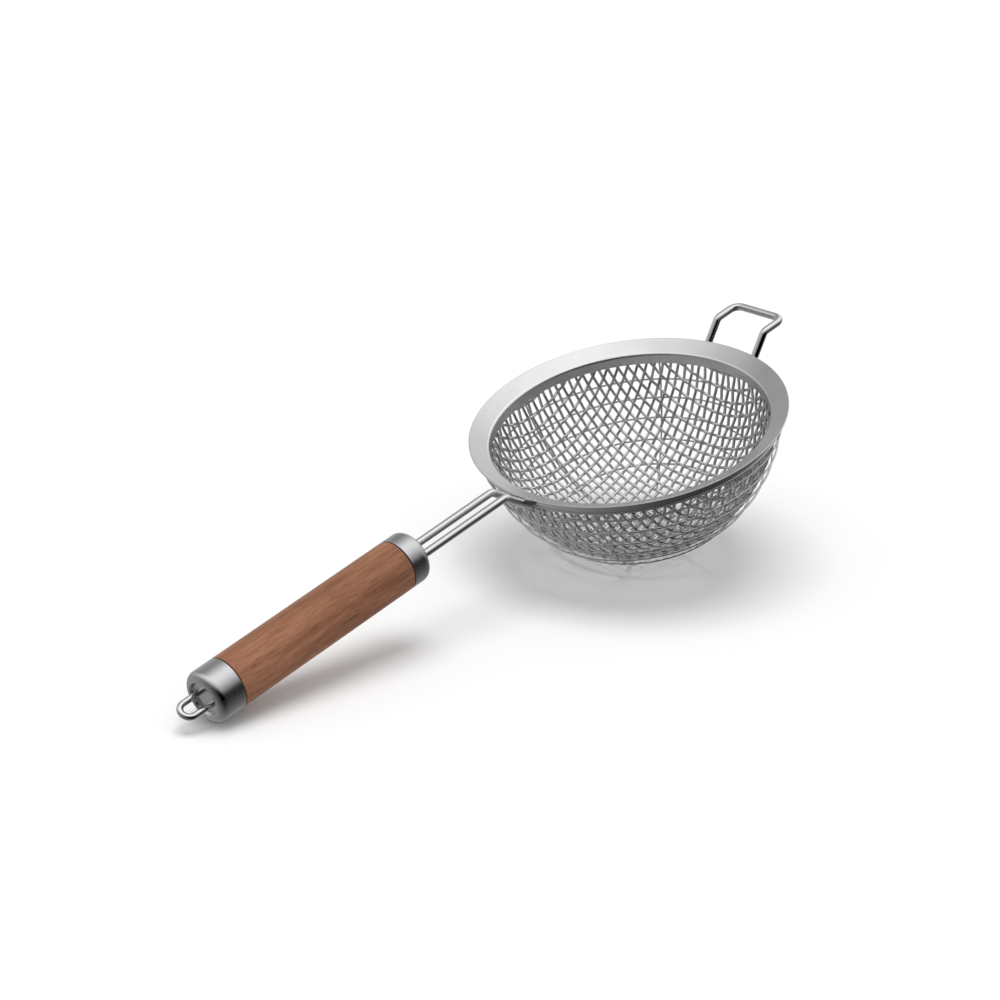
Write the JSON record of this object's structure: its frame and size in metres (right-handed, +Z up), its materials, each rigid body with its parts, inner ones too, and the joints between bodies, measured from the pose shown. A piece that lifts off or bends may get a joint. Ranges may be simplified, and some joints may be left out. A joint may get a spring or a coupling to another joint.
{
  "type": "double sieve strainer",
  "caption": "Round-bottomed sieve with a fine woven bowl inside a coarse wire cage, a flared rim, a rest hook and a wooden handle with a hanging loop.",
  "frame": {"origin": "centre of the overall box on the surface that the strainer lies on", "axes": "+X from the handle towards the rest hook, +Z up, the strainer lying on its bowl and the end of its handle"},
  "size_m": [0.4372, 0.18, 0.1173],
  "materials": {
    "rim_steel": "satin stainless sheet, finely brushed round the rim",
    "sieve_wire": "drawn stainless wire, woven",
    "cage_wire": "drawn stainless wire, welded",
    "bright_rod": "polished stainless rod",
    "handle_metal": "satin stainless, turned",
    "dark_fibre": "matt",
    "walnut": "oiled red-brown hardwood, fine lengthwise grain"
  },
  "bodies": {
    "root": {"rim_flare": "rim_steel", "rim_band": "rim_steel", "inner_sieve_warp": "sieve_wire", "inner_sieve_weft": "sieve_wire", "inner_sieve_edge_wire": "sieve_wire", "cage_ring_1": "cage_wire", "cage_rib_1": "cage_wire", "cage_ring_2": "cage_wire", "cage_rib_2": "cage_wire", "cage_ring_3": "cage_wire", "cage_rib_3": "cage_wire", "cage_ring_4": "cage_wire", "cage_rib_4": "cage_wire", "cage_ring_5": "cage_wire", "cage_rib_5": "cage_wire", "cage_ring_6": "cage_wire", "cage_rib_6": "cage_wire", "handle_rod_left": "bright_rod", "handle_rod_right": "bright_rod", "hanging_loop": "bright_rod", "rest_hook": "bright_rod", "front_ferrule": "handle_metal", "rear_cap": "handle_metal", "front_washer": "dark_fibre", "rear_washer": "dark_fibre", "wood_grip": "walnut"}
  },
  "joints": []
}
